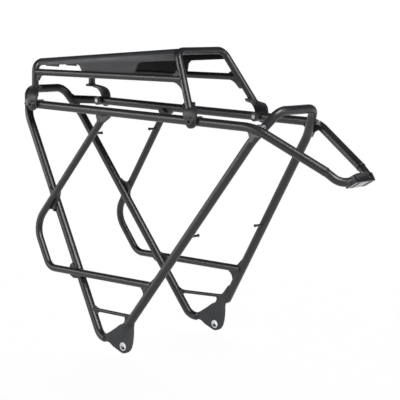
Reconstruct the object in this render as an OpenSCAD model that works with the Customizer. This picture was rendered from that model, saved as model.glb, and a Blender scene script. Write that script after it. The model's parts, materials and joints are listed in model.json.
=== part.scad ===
// Rear bicycle rack with a raised deck bolted over its side rails.
// Frame: +X forward towards the stay bridge, +Y to the bicycle's left, +Z up.
// Origin: the middle of the line through the two dropout bores.

/* [Tubes] */
// Diameter of the hoops and side rails
tube_d = 12; // [11.5:0.5:12.5]
// Diameter of the pannier hoops
light_d = 10; // [9:0.5:10.5]
// Diameter of the deck's two hoops
deck_hoop_d = 10; // [9.5:0.5:10.5]
// Diameter of the deck's side rails
deck_rail_d = 9.5; // [9:0.5:10]
// Diameter of the short rod above each dropout
rod_d = 5; // [4:0.5:6]
// Centreline radius of the two hoops' upper corners
hoop_corner_r = 19; // [16:1:20]

/* [Side rails] */
// Height of the side rails above the dropout bores
rail_z = 312; // [311:0.5:313]
// Distance of each side rail from the middle plane
rail_y = 66.5; // [66.5:0.5:67]
// Centreline radius of the bend where the rails start to fall
rail_drop_r = 60; // [40:5:80]

/* [Dropouts] */
// Distance of each dropout plate's middle from the middle plane
dropout_y = 96; // [95.5:0.5:96.5]
// Thickness of the dropout plates
dropout_t = 6; // [4:0.5:6]
// Bore of the bush that takes the dropout bolt
dropout_bore_d = 9; // [8:0.1:9.5]

/* [Deck] */
// Thickness of the deck panel
panel_t = 2.5; // [2:0.25:3]
// Thickness of the foot brackets
foot_t = 3; // [2.5:0.25:3.5]
// Thread diameter of the deck bolts
bolt_d = 6; // [5:1:6]
// Outside diameter of the bushes welded through the rails
bush_d = 13; // [12.5:0.5:14]

/* [Stay bridge] */
// Distance between the two bridge slots
slot_spacing = 26; // [24:1:28]
// Width of the bridge slots
slot_w = 5.5; // [4.5:0.5:6]

/* [Hidden] */
$fn = 48;
black = "#232426";
bare = "#b9bbbe";

// A strut leans in the plane through its foot; both its X and its Y change with height
rear_x0 = -45;
rear_lean = 0.68;
rear_y0 = 94;
rear_splay = 0.142;
rear_bend_z = 292;
rear_cross_z = 329;
front_x0 = -9;
front_lean = 0.64;
front_y0 = 107.5;
front_splay = 0.166;
front_foot_z = 33;
front_bend_z = 294;
front_cross_z = 333;
rear_corner_y = 34.8;
front_corner_y = 36.6;
// The pannier hoops lie in a plane that leans inwards by this much per millimetre of height
pannier_y0 = 101.2;
pannier_splay = 0.1286;
// Where a bend starts and ends, a bead this much prouder than the tube joins the pieces
bead = 0.03;
bead_gap = 0.1;

function unit(v) = v / norm(v);
function flip_y(p) = [p.x, -p.y, p.z];
function mirrored(path) = [for (i = [len(path) - 1 : -1 : 0]) flip_y(path[i])];
function rear_point(z) = [rear_x0 - rear_lean * z, rear_y0 - rear_splay * z, z];
function front_point(z) = [front_x0 + front_lean * z, front_y0 - front_splay * z, z];
function pannier_point(x, z) = [x, pannier_y0 - pannier_splay * z, z];
// Length that a bend of radius r takes from each of its two straight legs
function setback(path, i, r) =
    i == 0 || i == len(path) - 1 ? 0 :
    r * tan(acos(unit(path[i] - path[i - 1]) * unit(path[i + 1] - path[i])) / 2) + bead_gap;

// Places its children with their X, Y and Z axes along three given directions
module oriented(origin, x, y, z)
    multmatrix([[x.x, y.x, z.x, origin.x], [x.y, y.y, z.y, origin.y],
                [x.z, y.z, z.z, origin.z], [0, 0, 0, 1]]) children();

// Places its children with +Z pointing from a to b
module aimed(a, b) {
    z = unit(b - a);
    x = unit(cross(abs(z.z) < 0.9 ? [0, 0, 1] : [1, 0, 0], z));
    oriented(a, x, cross(z, x), z) children();
}

module rod(a, b, d) aimed(a, b) cylinder(h = norm(b - a), d = d);

// One bend with a hairline bead at either end, which welds it to the straight legs
module tube_bend(corner, before, after, r, d) {
    u = unit(corner - before);
    v = unit(after - corner);
    turn = acos(u * v);
    inward = unit(v - (u * v) * u);
    start = corner - r * tan(turn / 2) * u;
    trim = bead_gap / r * 180 / PI;
    oriented(start + r * inward, -inward, u, cross(u, inward)) {
        rotate([0, 0, trim]) rotate_extrude(angle = turn - 2 * trim) translate([r, 0]) circle(d = d);
        for (a = [0, turn])
            rotate([0, 0, a]) translate([r, 0, 0]) sphere(d = d + 2 * bead);
    }
}

// A round bar that follows a path of straight legs, with a bend radius at each inner corner
module bent_tube(path, radii, d) {
    for (i = [0 : len(path) - 2]) {
        u = unit(path[i + 1] - path[i]);
        rod(path[i] + u * setback(path, i, radii[i]),
            path[i + 1] - u * setback(path, i + 1, radii[i + 1]), d);
    }
    for (i = [1 : len(path) - 2])
        tube_bend(path[i], path[i - 1], path[i + 1], radii[i], d);
}

// Both sides of the rack: its child as drawn on the left, and its mirror image
module both_sides() {
    children();
    mirror([0, 1, 0]) children();
}

// ---- Main frame ----
rear_arch = [-265.5, rear_corner_y, rear_cross_z];
front_arch = [front_point(front_cross_z).x, front_corner_y, front_cross_z];
rear_side = [[-37, 95.4, 4.8], rear_point(5), rear_point(rear_bend_z), rear_arch];
front_side = [front_point(front_foot_z), front_point(front_bend_z), front_arch];
rail_end = [280.7, 38.2, 263.9];
rail_path = [[-253.5, 44.5, rail_z], [-223, rail_y, rail_z], [189, rail_y, rail_z], rail_end];
pannier_path = [pannier_point(-78.5, 308), pannier_point(-193.5, 141), pannier_point(-155.5, 85),
                pannier_point(48.5, 89.5)];

module rear_strut() rod(rear_side[1], rear_side[2], tube_d);
module rear_arm() rod(rear_side[2], rear_arch, tube_d);
module front_strut() rod(front_side[0], front_side[1], tube_d);
module front_arm() rod(front_side[1], front_arch, tube_d);
module straight_rail() rod(rail_path[1], rail_path[2], tube_d);
module upper_pannier_leg() rod(pannier_path[0], pannier_path[1], light_d);
module lower_pannier_leg() rod(pannier_path[2], pannier_path[3], light_d);

// A drain hole that points from the wheel's axle through a hoop's cross tube
drain_d = 2.6;
module drain_hole(p) rod([p.x, 0, p.z] * 0.95, [p.x, 0, p.z] * 1.05, drain_d);

module rear_hoop() color(black)
    difference() {
        bent_tube(concat(rear_side, mirrored(rear_side)),
                  [0, 20, 60, hoop_corner_r, hoop_corner_r, 60, 20, 0], tube_d);
        drain_hole(rear_arch);
        both_sides() dropout_blank();
    }

// Slants off the lower ends of the front hoop, below the line where they meet the dropout plates
module foot_trim()
    translate([0, 120, 0]) rotate([90, 0, 0]) linear_extrude(40)
        polygon([[-20, -10], [40, -10], [40, 47.9], [-20, 10.3]]);

module front_hoop() color(black)
    difference() {
        bent_tube(concat(front_side, mirrored(front_side)),
                  [0, 50, hoop_corner_r, hoop_corner_r, 50, 0], tube_d);
        drain_hole(front_arch);
        both_sides() {
            dropout_blank();
            foot_trim();
        }
    }

module left_side_rail() color(black)
    difference() {
        bent_tube(rail_path, [0, 20, rail_drop_r, 0], tube_d);
        rear_arm();
        front_strut();
        front_arm();
        for (x = [rear_bolt_x, front_bolt_x]) bush_blank(x);
        plug_blank();
    }

module left_pannier_hoop() color(black)
    difference() {
        bent_tube(pannier_path, [0, 34, 20, 0], light_d);
        rear_strut();
        front_strut();
        straight_rail();
    }

// ---- Dropout plates ----
dropout_outline = [
    [-46, 9.4], [-40, 9.4], [-35, 10.4], [-28, 14.5], [-16, 22.5], [-9.5, 27.5], [-6, 29.9], [-3, 31],
    [0, 33], [1.4, 35.5], [1.8, 39], [1.2, 41.6], [3.5, 43.6], [8.5, 45.4], [13.5, 48.5], [16, 52],
    [22, 60], [31, 56], [21, 43], [15.6, 34.5], [14.6, 28], [14.9, 21], [14.6, 14], [13.8, 6.5],
    [12, -0.2], [9.6, -4.4], [7.2, -6.8], [4.4, -8.6], [1.2, -9.6], [-2, -9.6], [-5, -8.6], [-9, -7.2],
    [-20, -3.2], [-24, -0.6], [-27, 0.8], [-31, 1.4], [-38, 1.6], [-46, 1.6]];

module dropout_blank()
    translate([0, dropout_y + dropout_t / 2, 0]) rotate([90, 0, 0])
        linear_extrude(dropout_t) polygon(dropout_outline);

// A bush pressed through the plate, a little proud of both its faces
bush_wall = 1.2;
bush_proud = 0.4;
module dropout_bush_blank()
    translate([0, dropout_y, 0]) rotate([90, 0, 0])
        cylinder(h = dropout_t + 2 * bush_proud, d = dropout_bore_d + 2 * bush_wall, center = true);

module left_dropout() color(black)
    difference() {
        dropout_blank();
        dropout_bush_blank();
    }

module dropout_bushes() color(bare)
    both_sides() difference() {
        dropout_bush_blank();
        translate([0, dropout_y, 0]) rotate([90, 0, 0])
            cylinder(h = dropout_t + 2, d = dropout_bore_d, center = true);
    }

rod_rear = [rear_point(38.8).x, rear_point(38.8).y, 38.8];
rod_front = [7, 95.5, 42.8];
module stay_rod_blank() rod(rod_rear, rod_front, rod_d);

module left_stay_rod() color(black)
    difference() {
        stay_rod_blank();
        rear_strut();
        dropout_blank();
    }

// ---- Gusset plates, welded between the tubes ----
gusset_t = 6;
rod_gusset_t = 5;
// The two crossing gussets lean halfway between the rear strut and the pannier hoop
crossing_splay = 0.136;
// A flat plate in the leaning plane y = y0 - splay * z, drawn from points given as [x, z]
module leaning_plate(points, y0, splay, t)
    translate([0, y0, 0]) rotate([90 + atan(splay), 0, 0])
        linear_extrude(t, center = true)
            polygon([for (p = points) [p.x, p.y * sqrt(1 + splay * splay)]]);

// Under the rail, at the top of the pannier hoop
module rail_pannier_gusset()
    difference() {
        leaning_plate([[-94, 310], [-66, 310], [-69, 304], [-79, 296.5], [-88, 296.5], [-91, 303]],
                      103.5, pannier_splay, gusset_t);
        straight_rail();
        upper_pannier_leg();
    }

// Where the pannier hoop crosses the rear strut
module upper_crossing_gusset()
    difference() {
        leaning_plate([[-180, 161], [-176, 164], [-171, 165.8], [-165, 165.3], [-161, 163],
                       [-159, 168], [-160, 174], [-158, 181], [-157, 188], [-157, 196],
                       [-161, 193.5], [-166, 192.3], [-172, 193.5], [-176, 196.5], [-172, 187],
                       [-174, 172]], 98, crossing_splay, gusset_t);
        rear_strut();
        upper_pannier_leg();
    }

// Where the lower bar crosses the rear strut
module lower_crossing_gusset()
    difference() {
        leaning_plate([[-117, 91], [-116, 95], [-112, 97.5], [-109, 94], [-104, 91.5],
                       [-98, 90.5], [-93, 89.5], [-87, 85.5], [-87, 82.5], [-95, 79],
                       [-101, 77], [-107, 76.5], [-113, 79], [-118, 83]], 98, crossing_splay, gusset_t);
        rear_strut();
        lower_pannier_leg();
    }

// Where the lower bar meets the front strut
module bar_end_gusset()
    difference() {
        leaning_plate([[55, 107], [48.5, 101], [43, 95.5], [36, 92.5], [30, 91.5], [26, 84],
                       [29, 82], [31.5, 78], [32.5, 72], [32, 66], [38, 70], [53, 95]],
                      104.5, 0.15, gusset_t);
        front_strut();
        lower_pannier_leg();
    }

// In front of the rear strut, around the end of the short rod
module rod_end_gusset()
    difference() {
        leaning_plate([[-77, 50], [-70, 45], [-63, 42.3], [-57, 41], [-57, 37.8], [-60, 34.5],
                       [-61.5, 30], [-61, 24], [-71, 30]], rear_y0, rear_splay, rod_gusset_t);
        rear_strut();
        stay_rod_blank();
    }

// Under the rail, at the front strut
module rail_strut_gusset()
    difference() {
        leaning_plate([[171, 308], [177, 303.5], [179.5, 298], [178, 293], [183, 292], [187, 298.5],
                       [194, 302], [200, 304.5], [201, 309]], 111.8, front_splay, gusset_t);
        front_strut();
        front_arm();
        straight_rail();
        tube_bend(rail_path[2], rail_path[1], rail_end, rail_drop_r, tube_d);
    }

module left_gussets() color(black) {
    rail_pannier_gusset();
    upper_crossing_gusset();
    lower_crossing_gusset();
    bar_end_gusset();
    rod_end_gusset();
    rail_strut_gusset();
}

// ---- Pins for luggage cords, with rounded heads ----
hook_pin_d = 3.2;
hook_head_d = 4.4;
module hook_pin(root, tip) {
    rod(root, tip, hook_pin_d);
    translate(tip) sphere(d = hook_head_d);
}

module left_hook_pins() color(black)
    difference() {
        union() {
            hook_pin(pannier_point(-98, 279.5), [-98, 49, 279.5]);
            hook_pin(front_point(161), [front_point(161).x + 1, 60, 161.5]);
        }
        upper_pannier_leg();
        front_strut();
    }

// ---- Stay bridge, one forging across the rails' front ends ----
pad_centre = [307.7, 0, 248.2];
pad_tilt = 32;
pad_half_y = 20.8;
pad_depth = 17.4;
module in_pad_frame() translate(pad_centre) rotate([0, -pad_tilt, 0]) children();

module bridge_arm()
    bent_tube([rail_end, [297.8, 33.2, 252.1], [307, 8, 252]], [0, 16, 0],
              tube_d - 0.8);

// The bar between the arms; its top falls away at both ends
module bridge_bar()
    difference() {
        in_pad_frame() translate([0, pad_half_y, 0]) rotate([90, 0, 0])
            linear_extrude(2 * pad_half_y)
                polygon([[-pad_depth / 2, 0], [pad_depth / 2, 0], [pad_depth / 2, 12], [8, 12.6],
                         [4, 12.2], [-pad_depth / 2, 3]]);
        both_sides() in_pad_frame() translate([-20, 9, 12.7]) rotate([-10, 0, 0]) cube([40, 30, 12]);
    }

module front_bridge() color(black)
    difference() {
        union() {
            both_sides() bridge_arm();
            bridge_bar();
        }
        in_pad_frame() translate([-30, -50, -30]) cube([60, 100, 30]);
        // scooped recess along the bar's front
        in_pad_frame() translate([pad_depth / 2 + 2.6, 0, 6.6]) rotate([90, 0, 0])
            cylinder(h = 2 * pad_half_y - 7, r = 5.6, center = true);
        in_pad_frame() for (side = [-1, 1])
            translate([0, side * slot_spacing / 2, -1]) {
                for (end = [-4, 4])
                    translate([end, 0, 0]) cylinder(h = 26, d = slot_w);
                translate([-4, -slot_w / 2, 0]) cube([8, slot_w, 26]);
            }
    }

// ---- Parts set into the rails ----
rear_bolt_x = -213;
front_bolt_x = 89.8;
tab_in = 73.2;
bush_in = 55.5;
bush_core_d = 9;
module bush_blank(x, d = bush_core_d)
    translate([x, bush_in, rail_z]) rotate([-90, 0, 0]) cylinder(h = tab_in - bush_in, d = d);

module rail_bushes() color(black)
    both_sides() for (x = [rear_bolt_x, front_bolt_x])
        difference() {
            union() {
                bush_blank(x);
                difference() {
                    bush_blank(x, bush_d);
                    straight_rail();
                }
            }
            translate([x, bush_in - 1, rail_z]) rotate([-90, 0, 0]) cylinder(h = 30, d = bolt_d);
        }

module plug_blank() translate([187, 58, rail_z + 0.8]) rotate([0, 90, 0]) cylinder(h = 10.5, d = 6);

module junction_plugs() color(bare)
    both_sides() difference() {
        plug_blank();
        front_strut();
        front_arm();
        translate([193, 58, rail_z + 0.8]) rotate([0, 90, 0]) cylinder(h = 10, d = 2.5);
    }

// ---- Deck ----
foot_top = 336;
foot_bend_r = 19;
foot_out = tab_in + foot_t;
function arc(centre, r, a0, a1, n = 12) =
    [for (i = [0 : n])
        let (a = a0 + (a1 - a0) * i / n) centre + r * [cos(a), sin(a)]];
function foot_arc(r, a0, a1) = arc([foot_out - foot_bend_r, foot_top - foot_bend_r], r, a0, a1);
// A shape drawn in Y and Z, drawn out along +X
module extruded_x(x, length)
    oriented([x, 0, 0], [0, 1, 0], [0, 0, 1], [1, 0, 0]) linear_extrude(length) children();

rear_leg = [-226, 57.5, foot_top - 9];
front_leg = [82.2, 69.2, foot_top - 9];
front_leg_top = [38.5, 46.7, 400];
rear_leg_top = [-226.6, 57.2, 371.5];

// All that lies under the feet's upper surface
module below_feet()
    both_sides() extruded_x(-400, 800)
        polygon(concat([[0, foot_top]], foot_arc(foot_bend_r, 90, 0),
                       [[foot_out, rail_z - 20], [0, rail_z - 20]]));

module deck_rear_hoop() color(black)
    difference() {
        bent_tube(concat([rear_leg, rear_leg_top], mirrored([rear_leg, rear_leg_top])),
                  [0, 13, 13, 0], deck_hoop_d);
        below_feet();
    }

module deck_front_hoop() color(black)
    difference() {
        bent_tube(concat([front_leg, front_leg_top], mirrored([front_leg, front_leg_top])),
                  [0, 14, 14, 0], deck_hoop_d);
        below_feet();
    }

module deck_rear_leg() rod(rear_leg, rear_leg_top, deck_hoop_d);
module deck_front_leg() rod(front_leg, front_leg_top, deck_hoop_d);
deck_rail_rear = [-225.5, 57.2, 357.2];
deck_rail_front = [59.5, 57.6, 364.4];
module deck_rail_blank() rod(deck_rail_rear, deck_rail_front, deck_rail_d);

module deck_left_rail() color(black)
    difference() {
        deck_rail_blank();
        deck_rear_leg();
        deck_front_leg();
    }

// Folded bracket: an upright tab with a bolt eye, curving over to carry a deck leg
eye_r = 9;
flange_r = 9.2;
module left_foot(bolt_x, leg_x, leg_y, back) {
    nose = bolt_x + eye_r;
    tail = bolt_x - back;
    difference() {
        intersection() {
            extruded_x(bolt_x - 40, 80)
                polygon(concat([[foot_out, rail_z - 20]], foot_arc(foot_bend_r, 0, 90),
                               [[leg_y - 20, foot_top], [leg_y - 20, foot_top - foot_t]],
                               foot_arc(foot_bend_r - foot_t, 90, 0), [[tab_in, rail_z - 20]]));
            // outline seen from the side
            translate([0, foot_out + 1, 0]) rotate([90, 0, 0]) linear_extrude(60)
                polygon(concat(arc([bolt_x, rail_z], eye_r, 180, 360, 24),
                               [[nose - 0.4, rail_z + 14], [nose - 1.5, rail_z + 18],
                                [nose - 5, rail_z + 21], [nose - 12, rail_z + 23.6],
                                [nose - 12, foot_top + 1], [leg_x - 12, foot_top + 1],
                                [leg_x - 12, rail_z + 19], [tail, rail_z + 17],
                                [tail + 2.4, rail_z + 10], [tail + 4.4, rail_z + 4]]));
            // outline seen from above
            translate([0, 0, rail_z - 20]) linear_extrude(60)
                polygon(concat(arc([leg_x, leg_y], flange_r, 170, 370, 24),
                               [[nose, foot_out - 5], [nose, foot_out + 1], [tail, foot_out + 1],
                                [tail, foot_out - 4]]));
        }
        translate([bolt_x, tab_in - 1, rail_z]) rotate([-90, 0, 0])
            cylinder(h = foot_t + 2, d = bolt_d + 0.4);
    }
}

module rear_left_foot() color(black) left_foot(rear_bolt_x, rear_leg.x, rear_leg.y, 12.5);
module front_left_foot() color(black) left_foot(front_bolt_x, 76.8, 65.6, 16.5);

module deck_bolts() color(bare)
    both_sides() for (x = [rear_bolt_x, front_bolt_x])
        translate([x, 0, rail_z]) rotate([-90, 0, 0]) difference() {
            union() {
                translate([0, 0, 54]) cylinder(h = foot_out - 53, d = bolt_d);
                translate([0, 0, foot_out]) cylinder(h = 3.2, d1 = 11.5, d2 = 9.5);
            }
            translate([0, 0, foot_out + 1.2]) cylinder(h = 3, d = 4.4, $fn = 6);
        }

// Deck panel: drawn with its top surface on z = 0 of a frame that slopes with the deck
panel_slope = atan(0.101);
panel_length = 266;
panel_bend_r = 8;
panel_flat_y = 42.5;
panel_splay = 9;
panel_taper = 1.2;
panel_tab_depth = 3.5;
flange_drop = 34;
panel_overlap = 12;
module in_deck_frame() translate([38, 0, 403.4]) rotate([0, -panel_slope, 0]) children();

function panel_arc(r, a0, a1) = arc([panel_flat_y, -panel_bend_r], r, a0, a1, 10);
function flange_end(r) =
    [panel_flat_y, -panel_bend_r] + r * [cos(panel_splay), sin(panel_splay)]
    + flange_drop * [sin(panel_splay), -cos(panel_splay)];
panel_in_r = panel_bend_r - panel_t;
panel_profile = concat([[-panel_overlap, 0]], panel_arc(panel_bend_r, 90, panel_splay),
                       [flange_end(panel_bend_r), flange_end(panel_in_r)],
                       panel_arc(panel_in_r, panel_splay, 90), [[-panel_overlap, -panel_t]]);

// One half of the folded sheet: flat, bend and splayed side flange, turned by the deck's taper
module panel_half()
    rotate([0, 0, -panel_taper])
        extruded_x(-panel_length - 10, panel_length + 20) polygon(panel_profile);

module deck_panel() color(black)
    difference() {
        intersection() {
            in_deck_frame() both_sides() panel_half();
            translate([0, 80, 0]) rotate([90, 0, 0]) linear_extrude(160)
                polygon([[-225, 366.9], [-144, 372.9], [-138, 371], [-129, 360], [-34, 362],
                         [-29, 378], [-24, 382.3], [38, 387.6], [38, 415], [-225, 415]]);
        }
        both_sides() {
            deck_rail_blank();
            deck_rear_leg();
            deck_front_leg();
        }
        rod(rear_leg_top, flip_y(rear_leg_top), deck_hoop_d);
        rod(front_leg_top, flip_y(front_leg_top), deck_hoop_d);
    }

// Small reinforcing tabs on the inner faces of the panel's side flanges, behind the rear ears
module panel_tabs() color(black)
    both_sides() difference() {
        for (tab = [[-208, 24, 366.8], [-167, 19, 369.8]])
            translate([tab.x, 50.5, tab.z]) cube([tab.y, panel_tab_depth, 6]);
        in_deck_frame() panel_half();
    }

module deck_corner_webs() color(black)
    both_sides() {
        difference() {
            leaning_plate([[-227, 359], [-216, 359], [-209, 358], [-209, 354], [-216, 351], [-220, 345],
                           [-226, 345]], 57.2, 0, 5);
            deck_rear_leg();
            deck_rail_blank();
        }
        difference() {
            leaning_plate([[44, 360], [50, 358.3], [55.5, 355], [59.5, 351],
                           [63, 348.5], [67, 352], [63, 362], [53, 374], [49.5, 375.5],
                           [47, 371.8], [43, 370]], 58, 0, 5);
            deck_front_leg();
            deck_rail_blank();
        }
    }

// ---- Mirrored pieces ----
module right_side_rail() mirror([0, 1, 0]) left_side_rail();
module right_pannier_hoop() mirror([0, 1, 0]) left_pannier_hoop();
module right_stay_rod() mirror([0, 1, 0]) left_stay_rod();
module right_dropout() mirror([0, 1, 0]) left_dropout();
module right_gussets() mirror([0, 1, 0]) left_gussets();
module right_hook_pins() mirror([0, 1, 0]) left_hook_pins();
module deck_right_rail() mirror([0, 1, 0]) deck_left_rail();
module rear_right_foot() mirror([0, 1, 0]) rear_left_foot();
module front_right_foot() mirror([0, 1, 0]) front_left_foot();

rear_hoop();
front_hoop();
left_side_rail();
right_side_rail();
front_bridge();
left_pannier_hoop();
right_pannier_hoop();
left_stay_rod();
right_stay_rod();
left_dropout();
right_dropout();
dropout_bushes();
left_gussets();
right_gussets();
left_hook_pins();
right_hook_pins();
rail_bushes();
junction_plugs();
deck_rear_hoop();
deck_front_hoop();
deck_left_rail();
deck_right_rail();
deck_corner_webs();
deck_panel();
panel_tabs();
rear_left_foot();
rear_right_foot();
front_left_foot();
front_right_foot();
deck_bolts();
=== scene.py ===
import json
import math
import random

import bmesh
import bpy
from mathutils import Matrix, Vector, geometry, noise
from mathutils.bvhtree import BVHTree

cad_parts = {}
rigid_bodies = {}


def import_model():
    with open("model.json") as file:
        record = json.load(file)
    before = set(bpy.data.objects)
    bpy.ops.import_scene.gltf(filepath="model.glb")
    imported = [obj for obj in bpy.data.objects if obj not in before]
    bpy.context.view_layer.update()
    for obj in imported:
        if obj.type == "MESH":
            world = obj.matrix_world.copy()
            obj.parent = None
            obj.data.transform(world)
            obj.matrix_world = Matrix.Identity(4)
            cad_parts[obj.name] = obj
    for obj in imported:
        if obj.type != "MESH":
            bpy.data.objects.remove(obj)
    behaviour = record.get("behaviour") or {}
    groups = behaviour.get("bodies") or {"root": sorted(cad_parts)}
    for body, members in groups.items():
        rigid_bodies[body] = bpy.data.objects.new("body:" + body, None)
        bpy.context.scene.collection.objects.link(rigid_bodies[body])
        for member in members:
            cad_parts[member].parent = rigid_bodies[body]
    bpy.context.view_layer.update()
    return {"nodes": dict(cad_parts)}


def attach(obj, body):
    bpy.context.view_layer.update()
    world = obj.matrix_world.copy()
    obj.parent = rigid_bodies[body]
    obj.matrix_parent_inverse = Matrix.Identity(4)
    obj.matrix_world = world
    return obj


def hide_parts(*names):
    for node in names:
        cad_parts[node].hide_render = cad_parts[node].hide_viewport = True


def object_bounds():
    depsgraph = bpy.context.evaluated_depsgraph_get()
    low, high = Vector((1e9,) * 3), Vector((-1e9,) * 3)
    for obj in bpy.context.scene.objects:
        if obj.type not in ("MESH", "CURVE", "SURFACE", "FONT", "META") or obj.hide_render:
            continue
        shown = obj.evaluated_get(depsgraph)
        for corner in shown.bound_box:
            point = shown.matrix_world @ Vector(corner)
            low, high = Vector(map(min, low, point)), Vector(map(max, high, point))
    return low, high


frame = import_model()
NODES = frame["nodes"]
MM = 0.001
random.seed(11)


def mm(x, y, z):
    return Vector((x, y, z)) * MM


# ---------------------------------------------------------------- camera
CAMERA_AT = mm(1279.7, -1434.8, 481.3)
CAMERA_RIGHT = Vector((0.7548, 0.6553, 0.0286))
CAMERA_UP = Vector((-0.1187, 0.0937, 0.9885))
CAMERA_BACK = Vector((0.6451, -0.7496, 0.1485))

camera_data = bpy.data.cameras.new("camera")
camera_data.sensor_width = 36.0
camera_data.lens = 126.0
camera_data.clip_end = 500.0
camera = bpy.data.objects.new("camera", camera_data)
bpy.context.scene.collection.objects.link(camera)
turn = Matrix((CAMERA_RIGHT, CAMERA_UP, CAMERA_BACK)).transposed().to_4x4()
camera.matrix_world = Matrix.Translation(CAMERA_AT) @ turn
bpy.context.scene.camera = camera


# ---------------------------------------------------------------- materials
class Graph:
    """A material's node tree, with short helpers for adding nodes and links."""

    def __init__(self, name):
        self.material = bpy.data.materials.new(name)
        self.material.use_nodes = True
        self.tree = self.material.node_tree
        self.tree.nodes.clear()
        self.shader = self.add("ShaderNodeBsdfPrincipled")
        out = self.add("ShaderNodeOutputMaterial")
        self.link(self.shader.outputs["BSDF"], out.inputs["Surface"])
        self.place = self.add("ShaderNodeTexCoord").outputs["Object"]

    def add(self, kind, **values):
        node = self.tree.nodes.new(kind)
        for key, value in values.items():
            if key in node.inputs:
                node.inputs[key].default_value = value
            else:
                setattr(node, key, value)
        return node

    def link(self, a, b):
        self.tree.links.new(a, b)

    def noise(self, scale, detail=3.0, stretch=None):
        source = self.place
        if stretch:
            mapping = self.add("ShaderNodeMapping")
            mapping.inputs["Scale"].default_value = stretch
            self.link(source, mapping.inputs["Vector"])
            source = mapping.outputs["Vector"]
        node = self.add("ShaderNodeTexNoise")
        node.inputs["Scale"].default_value = scale
        node.inputs["Detail"].default_value = detail
        self.link(source, node.inputs["Vector"])
        return node.outputs["Fac"]

    def spread(self, value, low, high, start=0.3, end=0.7):
        node = self.add("ShaderNodeMapRange")
        node.inputs["From Min"].default_value = start
        node.inputs["From Max"].default_value = end
        node.inputs["To Min"].default_value = low
        node.inputs["To Max"].default_value = high
        self.link(value, node.inputs["Value"])
        return node.outputs["Result"]

    def blend(self, factor, first, second):
        node = self.add("ShaderNodeMix", data_type="RGBA")
        node.inputs["A"].default_value = (*first, 1)
        node.inputs["B"].default_value = (*second, 1)
        self.link(factor, node.inputs["Factor"])
        return node.outputs["Result"]

    def bump(self, height, strength, distance):
        node = self.add("ShaderNodeBump")
        node.inputs["Strength"].default_value = strength
        node.inputs["Distance"].default_value = distance
        self.link(height, node.inputs["Height"])
        self.link(node.outputs["Normal"], self.shader.inputs["Normal"])


PATCH = 18.0  # noise scale of the slow patches of colour
GRAIN_STRENGTH, GRAIN_HEIGHT = 0.08, 0.06 * MM


def finish(name, dark, light, roughness, metallic=0.0, grain=1400.0, grain_stretch=None,
           specular=0.5):
    """A surface with slow patches of colour and gloss, and a fine grain that shows as bumps."""
    g = Graph(name)
    g.shader.inputs["Metallic"].default_value = metallic
    g.shader.inputs["Specular IOR Level"].default_value = specular
    g.link(g.blend(g.spread(g.noise(PATCH), 0, 1), dark, light), g.shader.inputs["Base Color"])
    gloss = g.spread(g.noise(PATCH * 3, 4.0), *roughness)
    g.link(gloss, g.shader.inputs["Roughness"])
    g.bump(g.noise(grain, 2.0, grain_stretch), GRAIN_STRENGTH, GRAIN_HEIGHT)
    return g.material


COAT = finish("coat_satin_black", (0.0065, 0.0068, 0.0076), (0.0098, 0.0102, 0.0114), (0.33, 0.41))
DECK_COAT = finish("coat_deck_black", (0.0050, 0.0053, 0.0061), (0.0080, 0.0084, 0.0095),
                   (0.32, 0.40))
SHEET_COAT = finish("coat_sheet_black", (0.0080, 0.0086, 0.0104), (0.0115, 0.0123, 0.0145),
                    (0.40, 0.48), specular=0.4)
# painted shade: a darker, duller copy of the sheet coat, for the shaded hidden side of the panel
INSIDE_PAINTED_SHADE = finish("coat_inside_painted_shade", (0.0030, 0.0031, 0.0036), (0.0045, 0.0047, 0.0053),
                (0.42, 0.55), specular=0.12)
MATTE = finish("coat_matte_grey", (0.034, 0.035, 0.0375), (0.042, 0.043, 0.046), (0.66, 0.78),
               specular=0.22)
BARE = finish("bare_aluminium", (0.60, 0.61, 0.62), (0.74, 0.75, 0.76), (0.26, 0.40), metallic=1.0,
              grain=900.0, grain_stretch=(1, 6, 1))
MILLED = finish("milled_aluminium", (0.38, 0.39, 0.40), (0.46, 0.47, 0.48), (0.36, 0.5),
                metallic=1.0, grain=1200.0, grain_stretch=(1, 8, 1))


def two_tone(name, limit):
    """Blackened bolt heads, and bare thread ends nearer to the middle plane than the limit."""
    g = Graph(name)
    cut = g.add("ShaderNodeSeparateXYZ")
    g.link(g.place, cut.inputs[0])
    away = g.add("ShaderNodeMath", operation="ABSOLUTE")
    g.link(cut.outputs["Y"], away.inputs[0])
    bare = g.spread(away.outputs[0], 1, 0, limit - MM, limit + MM)
    tint = g.blend(g.spread(g.noise(60), 0, 1), (0.013, 0.013, 0.014), (0.02, 0.02, 0.021))
    mix = g.add("ShaderNodeMix", data_type="RGBA")
    g.link(bare, mix.inputs["Factor"])
    g.link(tint, mix.inputs["A"])
    mix.inputs["B"].default_value = (0.42, 0.42, 0.43, 1)
    g.link(mix.outputs["Result"], g.shader.inputs["Base Color"])
    g.link(bare, g.shader.inputs["Metallic"])
    g.link(g.spread(g.noise(90, 4.0), 0.20, 0.30), g.shader.inputs["Roughness"])
    g.bump(g.noise(900, 2.0), 0.25, 0.00006)
    return g.material


DECK_BOLT = two_tone("bolt_black_and_bare", 60 * MM)
FINISH_OF = {
    "dropout_bushes": BARE, "junction_plugs": MILLED, "deck_bolts": DECK_BOLT,
    "left_dropout": MATTE, "right_dropout": MATTE,
    "deck_panel": SHEET_COAT, "panel_tabs": SHEET_COAT,
    "rear_left_foot": SHEET_COAT, "rear_right_foot": SHEET_COAT,
    "front_left_foot": SHEET_COAT, "front_right_foot": SHEET_COAT,
    "deck_rear_hoop": DECK_COAT, "deck_front_hoop": DECK_COAT, "deck_left_rail": DECK_COAT,
    "deck_right_rail": DECK_COAT, "deck_corner_webs": DECK_COAT,
}


def paint(obj, material):
    obj.data.materials.clear()
    obj.data.materials.append(material)


for name, node in NODES.items():
    paint(node, FINISH_OF.get(name, COAT))


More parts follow.
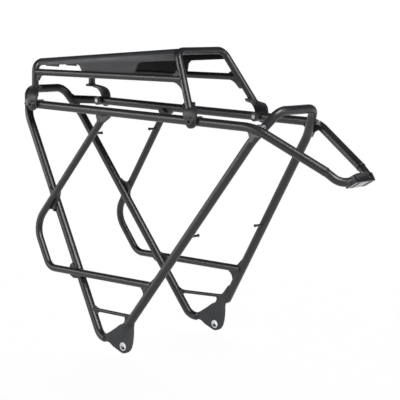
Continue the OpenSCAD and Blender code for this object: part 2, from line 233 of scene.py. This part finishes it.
# ---------------------------------------------------------------- making pieces
def add_piece(name, verts, faces, material, smooth=True):
    mesh = bpy.data.meshes.new(name)
    mesh.from_pydata([tuple(v) for v in verts], [], faces)
    mesh.validate()
    mesh.polygons.foreach_set("use_smooth", [smooth] * len(mesh.polygons))
    obj = bpy.data.objects.new(name, mesh)
    bpy.context.scene.collection.objects.link(obj)
    mesh.materials.append(material)
    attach(obj, "root")
    return obj


class Shape:
    """Vertices and faces gathered for one piece."""

    def __init__(self):
        self.verts = []
        self.faces = []

    def add(self, verts, faces):
        start = len(self.verts)
        self.verts.extend(verts)
        self.faces.extend([tuple(i + start for i in f) for f in faces])


def resample(points, step, closed):
    loop = points + [points[0]] if closed else points
    lengths = [0.0]
    for a, b in zip(loop, loop[1:]):
        lengths.append(lengths[-1] + (b - a).length)
    count = max(4, round(lengths[-1] / step))
    out, k = [], 0
    for i in range(count if closed else count + 1):
        s = lengths[-1] * i / count
        while k < len(lengths) - 2 and lengths[k + 1] < s:
            k += 1
        span = lengths[k + 1] - lengths[k]
        out.append(loop[k].lerp(loop[k + 1], (s - lengths[k]) / span if span > 0 else 0))
    return out


def smoothed(points, closed, rounds=2):
    for _ in range(rounds):
        last = len(points) - 1
        points = [
            p if not closed and i in (0, last)
            else (points[i - 1] + 2 * p + points[(i + 1) % len(points)]) / 4
            for i, p in enumerate(points)]
    return points


BEAD_STEP = 0.6 * MM
BEAD_SIDES = 10
RIPPLE = 2.3 * MM  # length of one ripple along a bead
# A bead's radius, as shares of its nominal one: its least, the ripple's and the unevenness's
LEAST, RIPPLE_SHARE, UNEVEN_SHARE = 0.86, 0.16, 0.10
UNEVEN_SCALE = 400
TAPER = 1.2  # an open bead's tapered ends, in radii


def bead(shape, points, radius, closed):
    """A rippled weld bead along a path, as one closed skin; an open one tapers at its ends."""
    points = smoothed(resample(points, BEAD_STEP, closed), closed)
    n = len(points)
    rings = []
    shift = random.random()
    up = None
    for i, p in enumerate(points):
        ahead = points[(i + 1) % n] if closed else points[min(i + 1, n - 1)]
        behind = points[i - 1] if closed else points[max(i - 1, 0)]
        along = (ahead - behind).normalized()
        if up is None:
            up = along.orthogonal().normalized()
        up = (up - along * up.dot(along)).normalized()
        side = along.cross(up)
        ripple = abs(math.sin(math.pi * (i * BEAD_STEP / RIPPLE + shift)))
        r = radius * (LEAST + RIPPLE_SHARE * ripple + UNEVEN_SHARE * noise.noise(p * UNEVEN_SCALE))
        if not closed:
            edge = min(i, n - 1 - i) * BEAD_STEP / (TAPER * radius)
            r *= math.sqrt(max(0.02, 1 - (1 - min(1, edge)) ** 2))
        rings.append([p + r * (math.cos(a) * up + math.sin(a) * side)
                      for a in [2 * math.pi * k / BEAD_SIDES for k in range(BEAD_SIDES)]])
    verts = [v for ring in rings for v in ring]
    faces = []
    spans = n if closed else n - 1
    # a closed bead's last ring may be turned against its first: join at the nearest corner
    offset = 0
    if closed:
        offset = min(range(BEAD_SIDES), key=lambda k: (rings[0][k] - rings[-1][0]).length)
    for i in range(spans):
        j = (i + 1) % n
        turned = offset if closed and i == n - 1 else 0
        for k in range(BEAD_SIDES):
            k2 = (k + 1) % BEAD_SIDES
            faces.append((i * BEAD_SIDES + k, i * BEAD_SIDES + k2,
                          j * BEAD_SIDES + (k2 + turned) % BEAD_SIDES,
                          j * BEAD_SIDES + (k + turned) % BEAD_SIDES))
    if not closed:
        faces.append(tuple(range(BEAD_SIDES))[::-1])
        faces.append(tuple((n - 1) * BEAD_SIDES + k for k in range(BEAD_SIDES)))
    shape.add(verts, faces)


def surface(name):
    """A CAD node's skin, for casting rays at."""
    mesh = NODES[name].data
    return BVHTree.FromPolygons([v.co.copy() for v in mesh.vertices],
                                [tuple(p.vertices) for p in mesh.polygons])


AROUND = 96  # rays cast round a bar
SEAM_GAP = 0.3 * MM  # how far outside the bar's skin they run
SEAM_JUMP = 3.2 * MM  # a step between neighbours that the bead doesn't bridge
SHORTEST_RUN = 6  # hits, below which a stretch is left bare


def seam(shape, start, end, radius, target, bead_radius):
    """Beads where a round bar of this radius, from start to end, meets the target's surface."""
    axis = (end - start).normalized()
    reach = (end - start).length
    u = axis.orthogonal().normalized()
    v = axis.cross(u)
    hits = []
    for k in range(AROUND):
        a = 2 * math.pi * k / AROUND
        ray = start + (radius + SEAM_GAP) * (math.cos(a) * u + math.sin(a) * v)
        hits.append(target.ray_cast(ray, axis, reach)[0])
    # a missed ray or a jump in depth breaks the ring into runs of neighbouring hits
    breaks = [i for i in range(AROUND) if hits[i] is None or hits[i - 1] is None
              or (hits[i] - hits[i - 1]).length >= SEAM_JUMP]
    if not breaks:
        bead(shape, hits, bead_radius, True)
        return
    first = breaks[0]
    run = []
    for i in range(AROUND + 1):
        h = hits[(first + i) % AROUND] if i < AROUND else None
        if run and (h is None or (h - run[-1]).length >= SEAM_JUMP):
            if len(run) > SHORTEST_RUN:
                bead(shape, run, bead_radius, False)
            run = []
        if h is not None:
            run.append(h)


def ring(shape, centre, axis, radius, bead_radius):
    """A closed bead round an axis, where there is no surface to cast at."""
    axis = axis.normalized()
    u = axis.orthogonal().normalized()
    v = axis.cross(u)
    path = [centre + radius * (math.cos(a) * u + math.sin(a) * v)
            for a in [2 * math.pi * k / AROUND for k in range(AROUND)]]
    bead(shape, path, bead_radius, True)


# ---------------------------------------------------------------- the rack's lines, as in CAD
def rear_point(z):
    return mm(-45 - 0.68 * z, 94 - 0.142 * z, z)


def front_point(z):
    return mm(-9 + 0.64 * z, 107.5 - 0.166 * z, z)


def pannier_point(x, z):
    return mm(x, 101.2 - 0.1286 * z, z)


def flip(p, side):
    return Vector((p.x, side * p.y, p.z))


TUBE_R = 6 * MM
LIGHT_R = 5 * MM
DECK_HOOP_R = 5 * MM
DECK_RAIL_R = 4.75 * MM
RAIL_Z = 312
RAIL_Y = 66.5
RAIL_DROP = mm(189, RAIL_Y, RAIL_Z)  # where the rail starts to fall
RAIL_END = mm(280.7, 38.2, 263.9)
BRIDGE_END = mm(297.8, 33.2, 252.1)
PANNIER_TOP = pannier_point(-78.5, 308)
PANNIER_REAR = pannier_point(-193.5, 141)
BAR_REAR = pannier_point(-155.5, 85)
BAR_FRONT = pannier_point(48.5, 89.5)
REAR_LEG = mm(-226, 57.5, 327)
REAR_LEG_TOP = mm(-226.6, 57.2, 371.5)
FRONT_LEG = mm(82.2, 69.2, 327)
FRONT_LEG_TOP = mm(38.5, 46.7, 400)
DECK_RAIL_REAR = mm(-225.5, 57.2, 357.2)
DECK_RAIL_FRONT = mm(59.5, 57.6, 364.4)
BOLT_XS = (-213, 89.8)
BUSH_R = 4.6 * MM
STAY_ROD_R = 2.5 * MM
PIN_R = 1.6 * MM
FERRULE_R = 5.75 * MM
CLEAR = 22 * MM  # how far from a crossing a bead's rays start

for side, word in ((1, "left"), (-1, "right")):
    rear = surface("rear_hoop")
    front = surface("front_hoop")
    rail = surface(word + "_side_rail")
    pannier = surface(word + "_pannier_hoop")
    dropout = surface(word + "_dropout")

    def on_side(p):
        return flip(p, side)

    welds = Shape()

    def join(start, end, radius, target, bead_radius):
        seam(welds, on_side(start), on_side(end), radius, target, bead_radius)

    # pannier hoop under the rail, past the rear strut, and its bar into the front strut
    join(PANNIER_TOP.lerp(PANNIER_REAR, 0.2), PANNIER_TOP, LIGHT_R, rail, 1.4 * MM)
    cross = pannier_point(-167, 179.4)
    leg = (PANNIER_TOP - PANNIER_REAR).normalized()
    join(cross + leg * CLEAR, cross, LIGHT_R, rear, 1.2 * MM)
    join(cross - leg * CLEAR, cross, LIGHT_R, rear, 1.2 * MM)
    bar = (BAR_FRONT - BAR_REAR).normalized()
    cross = pannier_point(-103.5, 86.1)
    join(cross + bar * CLEAR, cross, LIGHT_R, rear, 1.2 * MM)
    join(cross - bar * CLEAR, cross, LIGHT_R, rear, 1.2 * MM)
    join(BAR_FRONT.lerp(BAR_REAR, 0.15), BAR_FRONT, LIGHT_R, front, 1.4 * MM)
    # side rail against the rear arm and past the front strut
    rail_bend = mm(-223, RAIL_Y, RAIL_Z)
    rail_rear = mm(-253.5, 44.5, RAIL_Z)
    join(rail_bend.lerp(rail_rear, 0.35), rail_rear, TUBE_R, rear, 1.5 * MM)
    join(mm(165, RAIL_Y, RAIL_Z), mm(196, RAIL_Y, RAIL_Z), TUBE_R, front, 1.4 * MM)
    # struts onto the dropout plate
    join(rear_point(45), rear_point(4), TUBE_R, dropout, 1.1 * MM)
    join(front_point(80), front_point(36), TUBE_R, dropout, 1.1 * MM)
    # short rod above the dropout
    rod_rear, rod_front = rear_point(38.8), mm(7, 95.5, 42.8)
    join(rod_rear.lerp(rod_front, 0.4), rod_rear, STAY_ROD_R, rear, 0.8 * MM)
    join(rod_rear.lerp(rod_front, 0.6), rod_front, STAY_ROD_R, dropout, 0.8 * MM)
    # cord pins, from their free ends
    join(mm(-98, 53, 279.5), mm(-98, 64, 279.5), PIN_R, pannier, 0.6 * MM)
    join(mm(95, 65, 161.4), front_point(161), PIN_R, front, 0.6 * MM)
    # rail end into the bridge
    ring(welds, on_side(RAIL_END), on_side(BRIDGE_END - RAIL_DROP), FERRULE_R, 0.7 * MM)
    # bolt bushes in the rail, on its inner side
    for x in BOLT_XS:
        join(mm(x, 50, RAIL_Z), mm(x, 66, RAIL_Z), BUSH_R, rail, 0.9 * MM)
    add_piece(word + "_frame_welds", welds.verts, welds.faces, COAT)

    welds = Shape()
    deck_rear = surface("deck_rear_hoop")
    deck_front = surface("deck_front_hoop")
    rear_foot = surface("rear_%s_foot" % word)
    front_foot = surface("front_%s_foot" % word)
    join(REAR_LEG_TOP.lerp(REAR_LEG, 0.35), REAR_LEG, DECK_HOOP_R, rear_foot, 1.3 * MM)
    join(FRONT_LEG_TOP.lerp(FRONT_LEG, 0.6), FRONT_LEG, DECK_HOOP_R, front_foot, 1.3 * MM)
    join(DECK_RAIL_REAR.lerp(DECK_RAIL_FRONT, 0.06), DECK_RAIL_REAR, DECK_RAIL_R, deck_rear,
         1.2 * MM)
    join(DECK_RAIL_FRONT.lerp(DECK_RAIL_REAR, 0.06), DECK_RAIL_FRONT, DECK_RAIL_R, deck_front,
         1.2 * MM)
    add_piece(word + "_deck_welds", welds.verts, welds.faces, DECK_COAT)


# ---------------------------------------------------------------- plates with softened edges
WELD_DIST = 0.005 * MM
FLAT = math.radians(0.6)  # faces nearer than this in angle become one
BEVEL_FROM = math.radians(38)
SHADE_SHARP_FROM = math.radians(35)


def softened(node, material, width):
    """Stands in for a CAD plate: the same shape, with sharp edges rounded to catch the light."""
    mesh = NODES[node].data.copy()
    mesh.name = node + "_soft"
    obj = bpy.data.objects.new(node + "_soft", mesh)
    bpy.context.scene.collection.objects.link(obj)
    edit = bmesh.new()
    edit.from_mesh(mesh)
    bmesh.ops.remove_doubles(edit, verts=edit.verts, dist=WELD_DIST)
    bmesh.ops.dissolve_limit(edit, angle_limit=FLAT, verts=edit.verts, edges=edit.edges)
    sharp = [e for e in edit.edges if len(e.link_faces) == 2
             and e.calc_face_angle(0) > BEVEL_FROM]
    bmesh.ops.bevel(edit, geom=sharp, offset=width, offset_type="OFFSET", segments=2, profile=0.5,
                    affect="EDGES", clamp_overlap=True)
    for face in edit.faces:
        face.smooth = True
    for edge in edit.edges:
        edge.smooth = not (len(edge.link_faces) == 2
                           and edge.calc_face_angle(0) > SHADE_SHARP_FROM)
    edit.to_mesh(mesh)
    edit.free()
    mesh.materials.clear()
    mesh.materials.append(material)
    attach(obj, "root")
    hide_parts(node)
    return obj


EDGE = 0.45 * MM
for side in ("left", "right"):
    softened(side + "_dropout", MATTE, EDGE)
    for end in ("rear", "front"):
        softened("%s_%s_foot" % (end, side), SHEET_COAT, EDGE)
panel = softened("deck_panel", SHEET_COAT, EDGE)
# the folded panel's hidden side, its down- and inward-facing faces, gets painted shade: a darker,
# duller copy of the sheet coat
panel.data.materials.append(INSIDE_PAINTED_SHADE)
for face in panel.data.polygons:
    if face.normal.z < -0.5 or face.normal.y * face.center.y < -0.2 * abs(face.center.y):
        face.material_index = 1
softened("front_bridge", COAT, 0.6 * MM)


# ---------------------------------------------------------------- machined face of the bridge pad
PAD_TILT = math.radians(32)
PAD_AT = mm(307.7, 0, 248.2)
PAD_TURN = Matrix.Rotation(-PAD_TILT, 4, "Y")


def on_pad(x, y, z):
    return PAD_AT + PAD_TURN @ mm(x, y, z)


def stadium(centre_y, half_length, half_width, n=10):
    points = []
    for end, start in ((1, -90), (-1, 90)):
        for k in range(n + 1):
            a = math.radians(start + 180 * k / n)
            points.append((end * half_length + half_width * math.cos(a),
                           centre_y + half_width * math.sin(a)))
    return points


def slab(outline, holes, low, high, place):
    """A flat sheet with holes, between two heights, as vertices and faces."""
    loops = [outline] + holes
    flat = [[Vector((x, y, 0)) for x, y in loop] for loop in loops]
    triangles = geometry.tessellate_polygon(flat)
    points = [p for loop in loops for p in loop]
    n = len(points)
    verts = [place(x, y, high) for x, y in points] + [place(x, y, low) for x, y in points]
    faces = [tuple(t) for t in triangles] + [tuple(i + n for i in reversed(t)) for t in triangles]
    start = 0
    for loop in loops:
        for i in range(len(loop)):
            a, b = start + i, start + (i + 1) % len(loop)
            faces.append((a, b, b + n, a + n))
        start += len(loop)
    return verts, faces


PAD_HALF_X, PAD_HALF_Y = 8.5, 20.6
PAD_CORNER_R = 1.5
PLATE_LOW, PLATE_HIGH = -0.3, 0.05
SLOT_HALF_LENGTH, SLOT_HALF_WIDTH = 4, 4.4
outline = []
for cx, cy, a0 in ((1, 1, 0), (-1, 1, 90), (-1, -1, 180), (1, -1, 270)):
    for k in range(5):
        a = math.radians(a0 + 90 * k / 4)
        outline.append((cx * (PAD_HALF_X - PAD_CORNER_R) + PAD_CORNER_R * math.cos(a),
                        cy * (PAD_HALF_Y - PAD_CORNER_R) + PAD_CORNER_R * math.sin(a)))
SLOT_YS = (-13, 13)
plate = Shape()
slots = [stadium(y, SLOT_HALF_LENGTH, SLOT_HALF_WIDTH) for y in SLOT_YS]
plate.add(*slab(outline, slots, PLATE_LOW, PLATE_HIGH, on_pad))
# serrations: small sharp ridges across each slot's lips
TOOTH = 2.0
TOOTH_HALF_WIDTH = TOOTH * 0.3
TOOTH_TIP = -0.55
TEETH_EACH_SIDE = 3
LIP_INNER, LIP_OUTER = 2.9, 4.3
RIDGE_FACES = [(0, 2, 1), (3, 4, 5), (0, 3, 5, 2), (1, 2, 5, 4), (0, 1, 4, 3)]
for y in SLOT_YS:
    for lip in (-1, 1):
        ends = sorted((y + lip * LIP_INNER, y + lip * LIP_OUTER))
        for k in range(-TEETH_EACH_SIDE, TEETH_EACH_SIDE + 1):
            x = k * TOOTH
            plate.add([on_pad(x + dx, end, z) for end in ends
                       for dx, z in ((-TOOTH_HALF_WIDTH, PLATE_HIGH),
                                     (TOOTH_HALF_WIDTH, PLATE_HIGH), (0, TOOTH_TIP))], RIDGE_FACES)
add_piece("bridge_pad_face", plate.verts, plate.faces, MILLED, smooth=False)


# ---------------------------------------------------------------- light, floor and background
def area(name, place, target, size, power, tall=None):
    data = bpy.data.lights.new(name, "AREA")
    data.shape = "RECTANGLE"
    data.size, data.size_y = size, tall or size
    data.energy = power
    light = bpy.data.objects.new(name, data)
    bpy.context.scene.collection.objects.link(light)
    light.location = place
    light.rotation_euler = (Vector(target) - Vector(place)).to_track_quat("-Z", "Y").to_euler()
    return light


AIM = Vector((0.02, 0, 0.2))


def around(azimuth, elevation, distance):
    a, e = math.radians(azimuth), math.radians(elevation)
    return AIM + distance * Vector((math.cos(e) * math.cos(a), math.cos(e) * math.sin(a),
                                    math.sin(e)))


LIGHTS = [area("side_high", around(-131, 20, 2.5), AIM, 1.1, 19, 0.5),
          area("side_low_rear", around(-152, 6, 2.5), AIM, 0.7, 7, 0.6),
          area("side_low_front", around(-110, 6, 2.5), AIM, 0.7, 8, 0.6),
          area("key", around(-20, 49, 2.5), AIM, 1.6, 95, 1.2),
          area("edge", around(20, 18, 2.4), AIM, 0.4, 12, 1.2)]

world = bpy.data.worlds.new("studio")
bpy.context.scene.world = world
world.use_nodes = True
tree = world.node_tree
sky = tree.nodes["Background"]
coords = tree.nodes.new("ShaderNodeTexCoord")


def sky_ramp(value, stops):
    ramp = tree.nodes.new("ShaderNodeValToRGB")
    tree.links.new(value, ramp.inputs["Fac"])
    while len(ramp.color_ramp.elements) < len(stops):
        ramp.color_ramp.elements.new(0.5)
    for element, (position, level) in zip(ramp.color_ramp.elements, stops):
        element.position = position
        element.color = (level * 0.96, level * 0.98, level * 1.06, 1)
    return ramp.outputs["Color"]


split = tree.nodes.new("ShaderNodeSeparateXYZ")
tree.links.new(coords.outputs["Generated"], split.inputs[0])
height = sky_ramp(split.outputs["Z"], ((0.0, 0.24), (0.20, 0.20), (0.35, 0.12), (0.60, 0.03),
                                       (1.0, 0.01)))
# the white wall behind the rack
behind = tree.nodes.new("ShaderNodeVectorMath")
behind.operation = "DOT_PRODUCT"
behind.inputs[1].default_value = (-0.65, 0.76, 0.0)
tree.links.new(coords.outputs["Generated"], behind.inputs[0])
wall = sky_ramp(behind.outputs["Value"], ((0.0, 0.0), (0.80, 0.0), (0.93, 0.9), (1.0, 0.9)))
total = tree.nodes.new("ShaderNodeVectorMath")
total.operation = "ADD"
tree.links.new(height, total.inputs[0])
tree.links.new(wall, total.inputs[1])
tree.links.new(total.outputs[0], sky.inputs["Color"])
sky.inputs["Strength"].default_value = 1.0

FLOOR_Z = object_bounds()[0][2] - MM
FLOOR_HALF = 120.0
floor_mesh = bpy.data.meshes.new("floor")
floor_mesh.from_pydata([(x * FLOOR_HALF, y * FLOOR_HALF, 0)
                        for x, y in ((-1, -1), (1, -1), (1, 1), (-1, 1))], [], [(0, 1, 2, 3)])
floor = bpy.data.objects.new("floor", floor_mesh)
bpy.context.scene.collection.objects.link(floor)
floor.location = (0, 0, FLOOR_Z)
paper = Graph("floor_paper")
tint = paper.blend(paper.spread(paper.noise(3.0), 0, 1), (0.86, 0.86, 0.86), (0.88, 0.88, 0.88))
paper.link(tint, paper.shader.inputs["Base Color"])
paper.shader.inputs["Roughness"].default_value = 0.9
paper.shader.inputs["Emission Color"].default_value = (1, 1, 1, 1)
paper.shader.inputs["Emission Strength"].default_value = 0.92
floor_mesh.materials.append(paper.material)

# the lamps light the rack alone, so the floor stays an even white
lit = bpy.data.collections.new("lit_by_lamps")
bpy.context.scene.collection.children.link(lit)
for obj in list(bpy.context.scene.objects):
    if obj.type == "MESH" and obj is not floor:
        lit.objects.link(obj)
for light in LIGHTS:
    light.light_linking.receiver_collection = lit

bpy.context.scene.view_settings.view_transform = "Standard"
